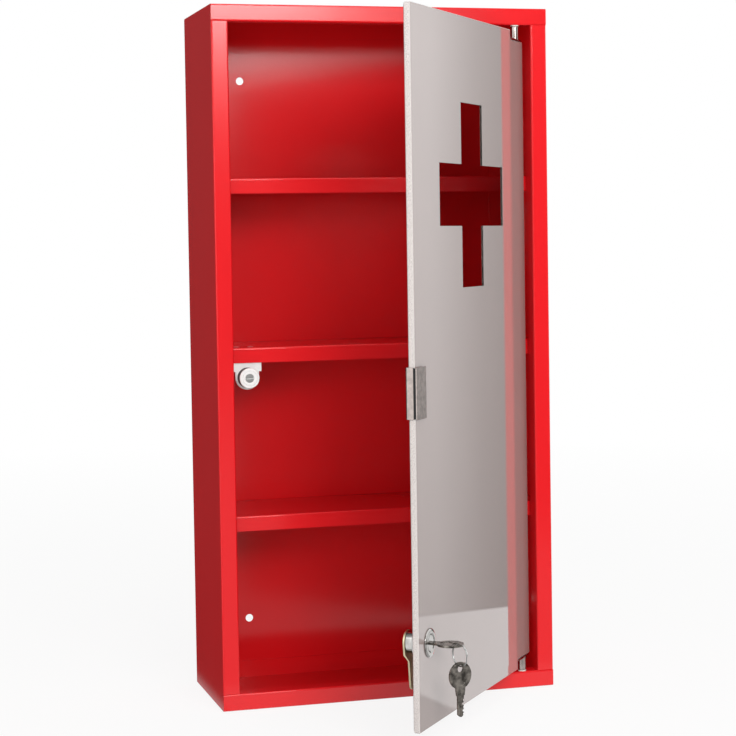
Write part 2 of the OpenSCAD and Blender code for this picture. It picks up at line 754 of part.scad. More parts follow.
left_side();
right_side();
top_panel();
bottom_panel();
back_panel();
shelf_lower();
shelf_middle();
shelf_upper();
hinge_bushes();
catch_bracket();
catch_magnet();
catch_screw();
catch_nut();
bracket_screws();
door_glass();
frosted_film();
edge_clip();
clip_liner();
clip_screws();
upper_hinge_leaf();
lower_hinge_leaf();
hinge_pads();
hinge_pins();
lock_housing();
lock_seal();
lock_washer();
lock_nut();
lock_plug();
lock_wafers();
lock_cam();
cam_screw();
key_in_lock();
key_ring();
spare_key();
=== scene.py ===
"""Dresses the lockable medicine cabinet and sets the stage and the camera."""

import json
from math import cos, pi, radians, sin

import bmesh
import bpy
from mathutils import Matrix, Vector


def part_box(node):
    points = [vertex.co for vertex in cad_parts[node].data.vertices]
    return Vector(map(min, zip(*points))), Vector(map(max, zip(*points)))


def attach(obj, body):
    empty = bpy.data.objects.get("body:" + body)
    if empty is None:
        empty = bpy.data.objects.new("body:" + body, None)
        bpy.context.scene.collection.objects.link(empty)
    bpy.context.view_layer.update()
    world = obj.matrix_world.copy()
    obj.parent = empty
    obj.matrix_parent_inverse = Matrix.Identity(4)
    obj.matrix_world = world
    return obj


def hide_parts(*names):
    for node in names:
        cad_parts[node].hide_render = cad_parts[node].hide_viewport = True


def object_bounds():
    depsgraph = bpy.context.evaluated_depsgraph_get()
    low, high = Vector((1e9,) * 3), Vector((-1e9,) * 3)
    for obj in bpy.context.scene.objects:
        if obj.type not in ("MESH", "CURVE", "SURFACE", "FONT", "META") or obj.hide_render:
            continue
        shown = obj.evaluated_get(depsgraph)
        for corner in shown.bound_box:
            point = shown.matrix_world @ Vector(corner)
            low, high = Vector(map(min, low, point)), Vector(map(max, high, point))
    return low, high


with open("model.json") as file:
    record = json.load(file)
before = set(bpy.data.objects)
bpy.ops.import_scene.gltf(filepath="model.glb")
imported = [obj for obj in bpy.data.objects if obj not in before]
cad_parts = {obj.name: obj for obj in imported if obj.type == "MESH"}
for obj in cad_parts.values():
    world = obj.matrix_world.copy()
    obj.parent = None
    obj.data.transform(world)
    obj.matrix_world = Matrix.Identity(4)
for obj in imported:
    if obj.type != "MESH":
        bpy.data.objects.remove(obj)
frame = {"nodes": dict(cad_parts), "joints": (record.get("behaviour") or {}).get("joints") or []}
CAD_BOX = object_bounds()

bl_info = {
    "name": "Medicine cabinet dresser",
    "version": (1, 0, 0),
    "blender": (4, 5, 0),
    "location": "3D View > Sidebar > Cabinet",
    "description": "Gives the wall-hung medicine cabinet its glass, metal, paint and keys",
    "category": "Object",
}

MM = 0.001


def linear(hex_colour):
    """The linear colour, with alpha 1, of an sRGB hex value such as "#d8242c"."""
    channels = [int(hex_colour[i:i + 2], 16) / 255 for i in (1, 3, 5)]
    return tuple(c / 12.92 if c <= 0.04045 else ((c + 0.055) / 1.055) ** 2.4
                 for c in channels) + (1.0,)


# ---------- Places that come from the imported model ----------

JOINTS = {joint["name"]: joint for joint in frame["joints"]}
PIVOT = Vector(JOINTS["door_hinge"]["pos_m"])
OPEN_ANGLE = -radians(JOINTS["door_hinge"]["range_deg"][0])
LOCK_POINT = Vector(JOINTS["lock_turn"]["pos_m"])
RING_BOX = [Vector(corner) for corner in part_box("key_ring")]
RING_AXIS = Vector(JOINTS["ring_swing"]["axis"]).normalized()

# Turns a piece drawn in the shut door to where the door stands at rest.
SHUT_TO_OPEN = (Matrix.Translation(PIVOT) @ Matrix.Rotation(OPEN_ANGLE, 4, "Z")
                @ Matrix.Translation(-PIVOT))
LOCK_SHUT = SHUT_TO_OPEN.inverted() @ LOCK_POINT


# ---------- Sizes and colours that a user would change ----------

def length(name, description, default, low, high):
    """A length property, its default and limits given in millimetres."""
    return bpy.props.FloatProperty(
        name=name, description=description, default=default * MM, min=low * MM, max=high * MM,
        subtype="DISTANCE", unit="LENGTH", precision=5)


def colour(name, description, hex_colour):
    """A colour property from an sRGB hex value."""
    return bpy.props.FloatVectorProperty(
        name=name, description=description, default=linear(hex_colour), size=4, min=0, max=1,
        subtype="COLOR")


class CabinetSizes(bpy.types.PropertyGroup):
    """Sizes of the dressed pieces."""
    sheet_edge: length("Sheet edge", "Rounding of the painted sheet's cut edges", 0.2, 0.05, 0.4)
    metal_edge: length("Metal edge", "Rounding of the small metal parts' edges", 0.15, 0.05, 0.4)
    small_edge: length("Small edge", "Rounding of pins, bushes, seals and plug", 0.1, 0.05, 0.2)
    thin_edge: length("Thin edge", "Rounding of the pads and the wafers", 0.05, 0.02, 0.1)
    clip_edge: length("Clip edge", "Rounding of the edge clip's cut edges", 0.25, 0.1, 0.4)
    key_edge: length("Key edge", "Rounding of the keys' edges", 0.25, 0.1, 0.4)
    glass_arris: length("Glass arris", "Width of the ground chamfer round the glass", 0.6, 0.2, 1)
    glass_corner: length("Glass corner", "Radius of the glass's corners", 2, 1, 5)
    notch_width: length("Notch width", "Width of the notch for a hinge", 32, 28, 40)
    notch_height: length("Notch height", "Height of the notch for a hinge", 8.6, 8, 12)
    lock_bore: length("Lock bore", "Diameter of the hole in the glass for the lock", 19, 18.5, 20)
    cross_size: length("Cross size", "Length of each bar of the clear cross", 150, 100, 160)
    cross_bar: length("Cross bar", "Width of each bar of the clear cross", 50, 30, 60)
    ring_wire: length("Ring wire", "Thickness of the key ring's two coils together", 1.4, 1.2, 1.5)


class CabinetColours(bpy.types.PropertyGroup):
    """Colours of the finishes."""
    paint: colour("Paint", "Red powder coat of the body", "#e5181f")
    catch_paint: colour("Catch", "White coat of the magnetic catch", "#f5f4f2")
    # The clear glass's tint is darker than real glass: painted shade for the cabinet seen through
    # the cross.
    glass: colour("Glass", "Tint of the clear glass", "#e0e4e2")
    ground_edge: colour("Ground edge", "Ground and polished edge of the glass", "#f5ece8")
    film: colour("Film", "Satin film behind the glass", "#a2938f")
    clip: colour("Edge clip", "Polished steel of the edge clip and hinges", "#aea39e")
    chrome: colour("Chrome", "Chrome plate of the lock", "#c4c2bf")
    zinc: colour("Zinc plate", "Zinc plated screws, nuts and ring", "#c6c6c4")
    cam: colour("Cam", "Yellow passivated zinc of the lock's cam", "#e3d8b4")
    brass: colour("Brass", "Wafers of the lock", "#c9a75c")
    key: colour("Keys", "Dark nickel plate of the keys", "#a19a92")
    # The magnet's rim and back are coloured dark: painted shade round its white cap.
    ferrite: colour("Ferrite", "Rim and back of the magnet", "#4a3f3e")
    rubber: colour("Rubber", "Liner and seals", "#1b1c1e")
    clear_pad: colour("Clear pad", "Clear pads that bond the hinges to the glass", "#f4f3ef")
    nylon: colour("Nylon", "Hinge bushes", "#e9e8e1")
    floor: colour("Floor", "Studio floor", "#f7f7f6")


# ---------- Materials ----------

def add(tree, kind, inputs=None, **settings):
    """Adds a node to a node tree, sets its properties, and sets or links its inputs."""
    made = tree.nodes.new(kind)
    for name, value in settings.items():
        setattr(made, name, value)
    for socket, value in (inputs or {}).items():
        if isinstance(value, bpy.types.NodeSocket):
            tree.links.new(value, made.inputs[socket])
        else:
            made.inputs[socket].default_value = value
    return made


def new_material(name):
    """An empty node material and its tree."""
    material = bpy.data.materials.new(name)
    material.use_nodes = True
    material.node_tree.nodes.clear()
    return material, material.node_tree


def darker(tint, share):
    """A tint made darker by a share between 0 and 1."""
    return tuple(channel * (1 - share) for channel in tint[:3]) + (1.0,)


def glossy_red_powder_coat(tint):
    """Polyester powder coat, sprayed dry on steel and baked: a hard gloss, faint orange peel."""
    material, tree = new_material("Glossy red powder coat")
    place = add(tree, "ShaderNodeTexCoord").outputs["Object"]
    # Film thickness drifts over some 80 mm, which shifts the red by a few per cent.
    drift = add(tree, "ShaderNodeTexNoise", {"Vector": place, "Scale": 12.0, "Detail": 2.0})
    shade = add(tree, "ShaderNodeMix", {
        "Factor": drift.outputs["Fac"], "A": darker(tint, 0.07), "B": tint}, data_type="RGBA")
    # Orange peel: ripples about 1.5 mm across, some 2 micrometres high.
    peel = add(tree, "ShaderNodeTexNoise", {"Vector": place, "Scale": 650.0, "Detail": 1.0})
    ripple = add(tree, "ShaderNodeBump", {
        "Height": peel.outputs["Fac"], "Distance": 4e-6, "Strength": 0.6})
    # Long waves of the sheet itself, which bend the reflections in a large panel.
    waves = add(tree, "ShaderNodeTexNoise", {"Vector": place, "Scale": 60.0, "Detail": 1.0})
    wave = add(tree, "ShaderNodeBump", {
        "Height": waves.outputs["Fac"], "Distance": 4e-5, "Strength": 0.5,
        "Normal": ripple.outputs["Normal"]})
    skin = add(tree, "ShaderNodeBsdfPrincipled", {
        "Base Color": shade.outputs["Result"], "Roughness": 0.16, "IOR": 1.5,
        "Normal": wave.outputs["Normal"]})
    add(tree, "ShaderNodeOutputMaterial", {"Surface": skin.outputs["BSDF"]})
    return material


def white_enamel(tint):
    """White stoving enamel over pressed steel: even, bright and slightly soft at the edges."""
    material, tree = new_material("White enamel on pressed steel")
    place = add(tree, "ShaderNodeTexCoord").outputs["Object"]
    # Fine orange peel, about 1 mm across.
    peel = add(tree, "ShaderNodeTexNoise", {"Vector": place, "Scale": 900.0, "Detail": 1.0})
    ripple = add(tree, "ShaderNodeBump", {
        "Height": peel.outputs["Fac"], "Distance": 5e-6, "Strength": 0.5})
    # Faint soiling in patches of some 6 mm.
    soil = add(tree, "ShaderNodeTexNoise", {"Vector": place, "Scale": 160.0, "Detail": 3.0})
    shade = add(tree, "ShaderNodeMix", {
        "Factor": soil.outputs["Fac"], "A": tint, "B": darker(tint, 0.08)}, data_type="RGBA")
    skin = add(tree, "ShaderNodeBsdfPrincipled", {
        "Base Color": shade.outputs["Result"], "Roughness": 0.3, "IOR": 1.5,
        "Normal": ripple.outputs["Normal"]})
    add(tree, "ShaderNodeOutputMaterial", {"Surface": skin.outputs["BSDF"]})
    return material


def coated_window_glass(tint):
    """Clear tempered glass coated against glare: it bends light, but lays no veil over the view."""
    material, tree = new_material("Clear glass coated against glare")
    place = add(tree, "ShaderNodeTexCoord").outputs["Object"]
    # Roller waves left by the tempering furnace, about 40 mm apart.
    rollers = add(tree, "ShaderNodeTexNoise", {"Vector": place, "Scale": 25.0, "Detail": 0.0})
    wave = add(tree, "ShaderNodeBump", {
        "Height": rollers.outputs["Fac"], "Distance": 1e-5, "Strength": 0.3})
    # It has no mirror image of its own. The tint takes off the light that each face holds back.
    # The tint is also darker than real glass: painted shade for the dim cabinet behind the cross.
    body = add(tree, "ShaderNodeBsdfRefraction", {
        "Color": tint, "Roughness": 0.0, "IOR": 1.52, "Normal": wave.outputs["Normal"]})
    add(tree, "ShaderNodeOutputMaterial", {"Surface": body.outputs["BSDF"]})
    return material


def glass_over_film(tint):
    """Float glass with satin film behind it: a soft grey ground under the gloss of the glass."""
    material, tree = new_material("Float glass over satin film")
    place = add(tree, "ShaderNodeTexCoord").outputs["Object"]
    # The film is cloudy by a few per cent over some 100 mm, and has a grain of about 0.4 mm.
    cloud = add(tree, "ShaderNodeTexNoise", {"Vector": place, "Scale": 9.0, "Detail": 1.0})
    grain = add(tree, "ShaderNodeTexNoise", {"Vector": place, "Scale": 2500.0, "Detail": 1.0})
    blend = add(tree, "ShaderNodeMath", {0: cloud.outputs["Fac"], 1: grain.outputs["Fac"]},
                operation="MULTIPLY")
    mottle = add(tree, "ShaderNodeMix", {
        "Factor": blend.outputs[0], "A": tint, "B": darker(tint, 0.14)}, data_type="RGBA")
    # The glass keeps its roller waves, as the clear window does.
    rollers = add(tree, "ShaderNodeTexNoise", {"Vector": place, "Scale": 25.0, "Detail": 0.0})
    wave = add(tree, "ShaderNodeBump", {
        "Height": rollers.outputs["Fac"], "Distance": 1e-5, "Strength": 0.3})
    body = add(tree, "ShaderNodeBsdfPrincipled", {
        "Base Color": mottle.outputs["Result"], "Roughness": 0.02, "IOR": 1.52,
        "Coat Weight": 1.0, "Coat Roughness": 0.02, "Coat IOR": 1.5,
        "Normal": wave.outputs["Normal"], "Coat Normal": wave.outputs["Normal"]})
    add(tree, "ShaderNodeOutputMaterial", {"Surface": body.outputs["BSDF"]})
    return material


def ground_glass_edge(tint):
    """Edge of the glass, ground flat and polished: it scatters light and shows as a pale line."""
    material, tree = new_material("Ground and polished glass edge")
    place = add(tree, "ShaderNodeTexCoord").outputs["Object"]
    # Grinding marks, drawn at about 0.4 mm, the finest that shows.
    grit = add(tree, "ShaderNodeTexNoise", {"Vector": place, "Scale": 2500.0, "Detail": 2.0})
    scratch = add(tree, "ShaderNodeBump", {
        "Height": grit.outputs["Fac"], "Distance": 8e-6, "Strength": 0.3})
    shine = add(tree, "ShaderNodeMapRange", {
        "Value": grit.outputs["Fac"], "To Min": 0.22, "To Max": 0.34})
    body = add(tree, "ShaderNodeBsdfPrincipled", {
        "Base Color": tint, "Roughness": shine.outputs["Result"], "IOR": 1.52,
        "Transmission Weight": 0.35, "Normal": scratch.outputs["Normal"]})
    add(tree, "ShaderNodeOutputMaterial", {"Surface": body.outputs["BSDF"]})
    return material


def satin_window_film(tint):
    """Cast vinyl etch film: a dense grey haze that lets through light but no outline."""
    material, tree = new_material("Satin etch film")
    place = add(tree, "ShaderNodeTexCoord").outputs["Object"]
    # The film's grain is 0.05 mm; it is drawn at about 0.4 mm, the finest that shows.
    grain = add(tree, "ShaderNodeTexNoise", {"Vector": place, "Scale": 2500.0, "Detail": 1.0})
    tooth = add(tree, "ShaderNodeBump", {
        "Height": grain.outputs["Fac"], "Distance": 1e-5, "Strength": 0.4})
    cloud = add(tree, "ShaderNodeTexNoise", {"Vector": place, "Scale": 9.0, "Detail": 1.0})
    mottle = add(tree, "ShaderNodeMix", {
        "Factor": cloud.outputs["Fac"], "A": tint, "B": darker(tint, 0.05)}, data_type="RGBA")
    skin = add(tree, "ShaderNodeBsdfPrincipled", {
        "Base Color": mottle.outputs["Result"], "Roughness": 0.55, "IOR": 1.46,
        "Transmission Weight": 0.12, "Normal": tooth.outputs["Normal"]})
    add(tree, "ShaderNodeOutputMaterial", {"Surface": skin.outputs["BSDF"]})
    return material


def clear_acrylic_pad(tint):
    """Clear double-sided acrylic pad, die cut: it lets the steel behind it show."""
    material, tree = new_material("Clear acrylic bonding pad")
    place = add(tree, "ShaderNodeTexCoord").outputs["Object"]
    # Small air bubbles left in the bond, about 1 mm apart.
    bubbles = add(tree, "ShaderNodeTexNoise", {"Vector": place, "Scale": 1000.0, "Detail": 1.0})
    wet = add(tree, "ShaderNodeMapRange", {
        "Value": bubbles.outputs["Fac"], "To Min": 0.02, "To Max": 0.2})
    body = add(tree, "ShaderNodeBsdfPrincipled", {
        "Base Color": tint, "Roughness": wet.outputs["Result"], "IOR": 1.49,
        "Transmission Weight": 1.0})
    add(tree, "ShaderNodeOutputMaterial", {"Surface": body.outputs["BSDF"]})
    return material


def drawn_metal(name, tint, roughness, depth, stretch=(1, 1, 1), wear=0.18):
    """Metal with the fine lines of drawing, rolling or buffing, depth metres deep, drawn out by
    stretch and darkened by wear where it is handled."""
    material, tree = new_material(name)
    place = add(tree, "ShaderNodeTexCoord").outputs["Object"]
    along = add(tree, "ShaderNodeMapping", {"Vector": place, "Scale": stretch})
    # Lines just under 1 mm apart, and handling marks some 5 mm across.
    lines = add(tree, "ShaderNodeTexNoise", {
        "Vector": along.outputs["Vector"], "Scale": 1200.0, "Detail": 3.0})
    marks = add(tree, "ShaderNodeTexNoise", {"Vector": place, "Scale": 220.0, "Detail": 4.0})
    groove = add(tree, "ShaderNodeBump", {
        "Height": lines.outputs["Fac"], "Distance": depth, "Strength": 0.5})
    polish = add(tree, "ShaderNodeMapRange", {
        "Value": marks.outputs["Fac"], "To Min": roughness * 0.75, "To Max": roughness * 1.3})
    worn = add(tree, "ShaderNodeMapRange", {
        "Value": marks.outputs["Fac"], "From Min": 0.38, "From Max": 0.62})
    tone = add(tree, "ShaderNodeMix", {
        "Factor": worn.outputs["Result"], "A": tint, "B": darker(tint, wear)}, data_type="RGBA")
    body = add(tree, "ShaderNodeBsdfPrincipled", {
        "Base Color": tone.outputs["Result"], "Metallic": 1.0,
        "Roughness": polish.outputs["Result"], "Normal": groove.outputs["Normal"]})
    add(tree, "ShaderNodeOutputMaterial", {"Surface": body.outputs["BSDF"]})
    return material


def moulded_or_painted_shade(name, tint, roughness):
    """Moulded rubber or nylon, or the magnet's dark rim as painted shade: matt to satin, with a
    fine tooth.
    """
    material, tree = new_material(name)
    place = add(tree, "ShaderNodeTexCoord").outputs["Object"]
    # The mould's tooth, drawn at about 0.5 mm.
    tooth = add(tree, "ShaderNodeTexNoise", {"Vector": place, "Scale": 1800.0, "Detail": 2.0})
    bump = add(tree, "ShaderNodeBump", {
        "Height": tooth.outputs["Fac"], "Distance": 2e-5, "Strength": 0.4})
    tone = add(tree, "ShaderNodeMix", {
        "Factor": tooth.outputs["Fac"], "A": tint, "B": darker(tint, 0.12)}, data_type="RGBA")
    body = add(tree, "ShaderNodeBsdfPrincipled", {
        "Base Color": tone.outputs["Result"], "Roughness": roughness, "IOR": 1.5,
        "Normal": bump.outputs["Normal"]})
    add(tree, "ShaderNodeOutputMaterial", {"Surface": body.outputs["BSDF"]})
    return material


MATERIALS = {}


def finishes():
    """Every finish of the cabinet by its slot's name, made once."""
    if not MATERIALS:
        colours = bpy.context.scene.cabinet_colours
        tint = {name: tuple(getattr(colours, name)) for name in CabinetColours.__annotations__}
        MATERIALS.update({
            "red_paint": glossy_red_powder_coat(tint["paint"]),
            "white_paint": white_enamel(tint["catch_paint"]),
            "clear_window": coated_window_glass(tint["glass"]),
            "ground_edge": ground_glass_edge(tint["ground_edge"]),
            "filmed_glass": glass_over_film(tint["film"]),
            "frosted_film": satin_window_film(tint["film"]),
            # Stainless strip, rolled and polished along its height: soft upright streaks.
            "polished_steel": drawn_metal("Polished stainless strip", tint["clip"], 0.2, 6e-6,
                                          stretch=(4, 4, 0.15)),
            # Chrome on a zinc die casting: bright, with faint buffing marks.
            "chrome": drawn_metal("Chrome plate on die casting", tint["chrome"], 0.1, 3e-6),
            # Clear zinc plate on steel: greyer and duller than chrome.
            "zinc_steel": drawn_metal("Zinc plated steel", tint["zinc"], 0.3, 8e-6),
            # The cam's zinc is passivated to a pale yellow.
            "yellow_zinc": drawn_metal("Yellow passivated zinc on steel", tint["cam"], 0.38, 8e-6),
            # Wafers stamped from brass strip: yellow, with fine die marks.
            "brass": drawn_metal("Stamped brass", tint["brass"], 0.3, 6e-6),
            # Nickel plate over brass, darkened by handling.
            "key_nickel": drawn_metal("Dark nickel plate on brass", tint["key"], 0.26, 2e-5,
                                      wear=0.8),
            "clear_pad": clear_acrylic_pad(tint["clear_pad"]),
            # The magnet's rim and back: a dark colour as painted shade round the white cap.
            "ferrite": moulded_or_painted_shade("Bare ferrite magnet", tint["ferrite"], 0.5),
            "rubber": moulded_or_painted_shade("Black rubber", tint["rubber"], 0.75),
            "nylon": moulded_or_painted_shade("White nylon", tint["nylon"], 0.4),
        })
    return MATERIALS


# ---------- Making pieces ----------

MERGE = 1e-7  # points closer than this are one, in metres
FLAT = 0.3  # faces that meet at less than this are one flat face, in degrees
CORNER = 45  # edges sharper than this are rounded, in degrees


def piece(shape, name, body, slot_name, stands_for=(), finish=None, smooth=30):
    """Turns a bmesh into a finished piece that rides a body, smooth up to an angle in degrees."""
    mesh = bpy.data.meshes.new(name)
    shape.to_mesh(mesh)
    shape.free()
    mesh.shade_smooth()
    mesh.set_sharp_from_angle(angle=radians(smooth))
    made = bpy.data.objects.new(name, mesh)
    bpy.context.scene.collection.objects.link(made)
    for material in finish or [finishes()[slot_name]]:
        mesh.materials.append(material)
    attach(made, body)
    if stands_for:
        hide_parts(*stands_for)
    return made


def sharp_edges(shape, angle):
    """The edges where two faces meet at more than angle degrees."""
    return [edge for edge in shape.edges
            if edge.is_manifold and edge.calc_face_angle(0) > radians(angle)]


def softened(node, body, slot_name, width, segments=2):
    """A copy of a model's solid with its edges rounded, which stands for it."""
    shape = bmesh.new()
    shape.from_mesh(frame["nodes"][node].data)
    bmesh.ops.remove_doubles(shape, verts=shape.verts, dist=MERGE)
    bmesh.ops.dissolve_limit(shape, angle_limit=radians(FLAT), verts=shape.verts,
                             edges=shape.edges)
    bmesh.ops.bevel(shape, geom=sharp_edges(shape, CORNER), offset=width,
                    offset_type="OFFSET", affect="EDGES", segments=segments, profile=0.5,
                    material=-1, clamp_overlap=True)
    made = piece(shape, node + "_finished", body, slot_name, (node,), smooth=35)
    weigh = made.modifiers.new("Flat faces stay flat", "WEIGHTED_NORMAL")
    weigh.keep_sharp = True
    return made


class CabinetOperator:
    """What every operator of this file shares."""
    bl_options = {"REGISTER", "UNDO"}

    @property
    def sizes(self):
        """The sizes that a user may change."""
        return bpy.context.scene.cabinet_sizes


class CABINET_OT_steel_body(CabinetOperator, bpy.types.Operator):
    """Paints the folded steel body and its shelves, and rounds their cut edges"""
    bl_idname = "cabinet.steel_body"
    bl_label = "Steel body and shelves"

    def execute(self, context):
        for node in ("left_side", "right_side", "top_panel", "bottom_panel", "back_panel",
                     "shelf_lower", "shelf_middle", "shelf_upper"):
            softened(node, "cabinet", "red_paint", self.sizes.sheet_edge)
        return {"FINISHED"}


class CABINET_OT_magnetic_catch(CabinetOperator, bpy.types.Operator):
    """Finishes the catch under the middle shelf: bracket, magnet, screws"""
    bl_idname = "cabinet.magnetic_catch"
    bl_label = "Magnetic catch"

    def execute(self, context):
        edge = self.sizes.metal_edge
        softened("catch_bracket", "cabinet", "white_paint", edge)
        magnet = softened("catch_magnet", "cabinet", "white_paint", edge)
        # The magnet's cap is white in front; its rim and back are coloured dark, as painted shade
        # round the cap.
        magnet.data.materials.append(finishes()["ferrite"])
        for face in magnet.data.polygons:
            face.material_index = 0 if face.normal.y < -0.3 else 1
        for node in ("catch_screw", "catch_nut", "bracket_screws"):
            softened(node, "cabinet", "zinc_steel", edge)
        return {"FINISHED"}


class CABINET_OT_glass_door(CabinetOperator, bpy.types.Operator):
    """Cuts the notched glass pane with ground edges, and finishes the film behind it"""
    bl_idname = "cabinet.glass_door"
    bl_label = "Glass door"

    # The pane's box in the shut door, with the place of the clear cross's centre.
    free_x, hinge_x, low, high = -133 * MM, 134 * MM, -280 * MM, 280 * MM
    outer, inner = -119 * MM, -114.03 * MM
    cross_x, cross_z = 0.5 * MM, 135 * MM
    # The pane's finishes, each with the index of its slot.
    slots = ("clear_window", "ground_edge", "filmed_glass")
    clear, ground, filmed = range(3)

    def cut_outline(self, shape):
        """The pane's edge with its two notches, its rounded corners and the bore for the lock."""
        sizes = self.sizes
        notch_x = self.hinge_x - sizes.notch_width
        notch_top, notch_low = self.high - sizes.notch_height, self.low + sizes.notch_height
        corners = [(self.free_x, self.high), (notch_x, self.high), (notch_x, notch_top),
                   (self.hinge_x, notch_top), (self.hinge_x, notch_low), (notch_x, notch_low),
                   (notch_x, self.low), (self.free_x, self.low)]
        points = [shape.verts.new((x, self.outer, z)) for x, z in corners]
        for start, end in zip(points, points[1:] + points[:1]):
            shape.edges.new((start, end))
        # Round are the corners at the free edge and the inner corners of the notches.
        bmesh.ops.bevel(shape, geom=[points[0], points[7], points[2], points[5]],
                        offset=sizes.glass_corner, offset_type="OFFSET", affect="VERTICES",
                        segments=6, profile=0.5, material=-1)
        bmesh.ops.create_circle(shape, cap_ends=False, radius=sizes.lock_bore / 2, segments=64,
                                matrix=Matrix.Translation((LOCK_SHUT.x, self.outer, LOCK_SHUT.z))
                                @ Matrix.Rotation(pi / 2, 4, "X"))

    def cut_cross(self, shape):
        """The twelve edges round the clear cross."""
        half, bar = self.sizes.cross_size / 2, self.sizes.cross_bar / 2
        quarter = [(bar, half), (bar, bar), (half, bar)]
        turns = [quarter, [(x, -z) for x, z in reversed(quarter)],
                 [(-x, -z) for x, z in quarter], [(-x, z) for x, z in reversed(quarter)]]
        points = [shape.verts.new((self.cross_x + x, self.outer, self.cross_z + z))
                  for turn in turns for x, z in turn]
        return [shape.edges.new((points[i - 1], points[i])) for i in range(len(points))]

    def execute(self, context):
        shape = bmesh.new()
        self.cut_outline(shape)
        cross = self.cut_cross(shape)
        # The clear cross is a face of its own, on both sides; the film shows everywhere else.
        bmesh.ops.triangle_fill(shape, use_beauty=True, edges=shape.edges)
        for face in shape.faces:
            face.material_index = self.filmed
        for face in bmesh.ops.contextual_create(shape, geom=cross)["faces"]:
            face.material_index = self.clear
        bmesh.ops.dissolve_limit(shape, angle_limit=radians(1), verts=shape.verts,
                                 edges=shape.edges, delimit={"MATERIAL"})
        # The outer face is drawn back to the inner one, and both get a ground chamfer.
        back = bmesh.ops.extrude_face_region(shape, geom=shape.faces[:])["geom"]
        bmesh.ops.translate(shape, verts=[v for v in back if isinstance(v, bmesh.types.BMVert)],
                            vec=(0, self.inner - self.outer, 0))
        bmesh.ops.recalc_face_normals(shape, faces=shape.faces)
        border = [edge for edge in sharp_edges(shape, 80)
                  if abs((edge.verts[0].co - edge.verts[1].co).y) < 1e-6]
        bmesh.ops.bevel(shape, geom=border, offset=self.sizes.glass_arris, offset_type="OFFSET",
                        affect="EDGES", segments=1, profile=0.5, material=self.ground,
                        clamp_overlap=False)
        # Every face that lies in neither side of the pane is ground.
        for face in shape.faces:
            if abs(face.normal.y) < 0.99:
                face.material_index = self.ground
        bmesh.ops.transform(shape, matrix=SHUT_TO_OPEN, verts=shape.verts)
        piece(shape, "glass_pane", "door", "glass", ("door_glass",),
              [finishes()[name] for name in self.slots], smooth=20)
        film = frame["nodes"]["frosted_film"]
        film.material_slots[0].material = finishes()["frosted_film"]
        return {"FINISHED"}


class CABINET_OT_edge_clip(CabinetOperator, bpy.types.Operator):
    """Finishes the steel clip round the free edge of the glass, with its liner and set screws"""
    bl_idname = "cabinet.edge_clip"
    bl_label = "Edge clip"

    def execute(self, context):
        softened("edge_clip", "door", "polished_steel", self.sizes.clip_edge, segments=3)
        softened("clip_liner", "door", "rubber", self.sizes.small_edge)
        softened("clip_screws", "door", "zinc_steel", self.sizes.small_edge)
        return {"FINISHED"}


class CABINET_OT_pivot_hinges(CabinetOperator, bpy.types.Operator):
    """Finishes the leaves, pads, pins and bushes of the two pivot hinges"""
    bl_idname = "cabinet.pivot_hinges"
    bl_label = "Pivot hinges"

    def execute(self, context):
        sizes = self.sizes
        softened("upper_hinge_leaf", "door", "polished_steel", sizes.metal_edge)
        softened("lower_hinge_leaf", "door", "polished_steel", sizes.metal_edge)
        softened("hinge_pads", "door", "clear_pad", sizes.thin_edge)
        softened("hinge_pins", "door", "polished_steel", sizes.small_edge)
        softened("hinge_bushes", "cabinet", "nylon", sizes.small_edge)
        return {"FINISHED"}


class CABINET_OT_cam_lock(CabinetOperator, bpy.types.Operator):
    """Finishes the lock's chrome housing, its plug, wafers, cam, nut and seals"""
    bl_idname = "cabinet.cam_lock"
    bl_label = "Cam lock"

    def execute(self, context):
        sizes = self.sizes
        softened("lock_housing", "door", "chrome", sizes.metal_edge, segments=3)
        softened("lock_plug", "plug", "chrome", sizes.small_edge)
        softened("lock_seal", "door", "rubber", sizes.small_edge)
        softened("lock_washer", "door", "rubber", sizes.small_edge)
        softened("lock_nut", "door", "zinc_steel", sizes.metal_edge)
        softened("lock_wafers", "plug", "brass", sizes.thin_edge)
        cam = softened("lock_cam", "plug", "zinc_steel", sizes.metal_edge)
        cam.data.materials[0] = finishes()["yellow_zinc"]
        softened("cam_screw", "plug", "zinc_steel", sizes.metal_edge)
        return {"FINISHED"}


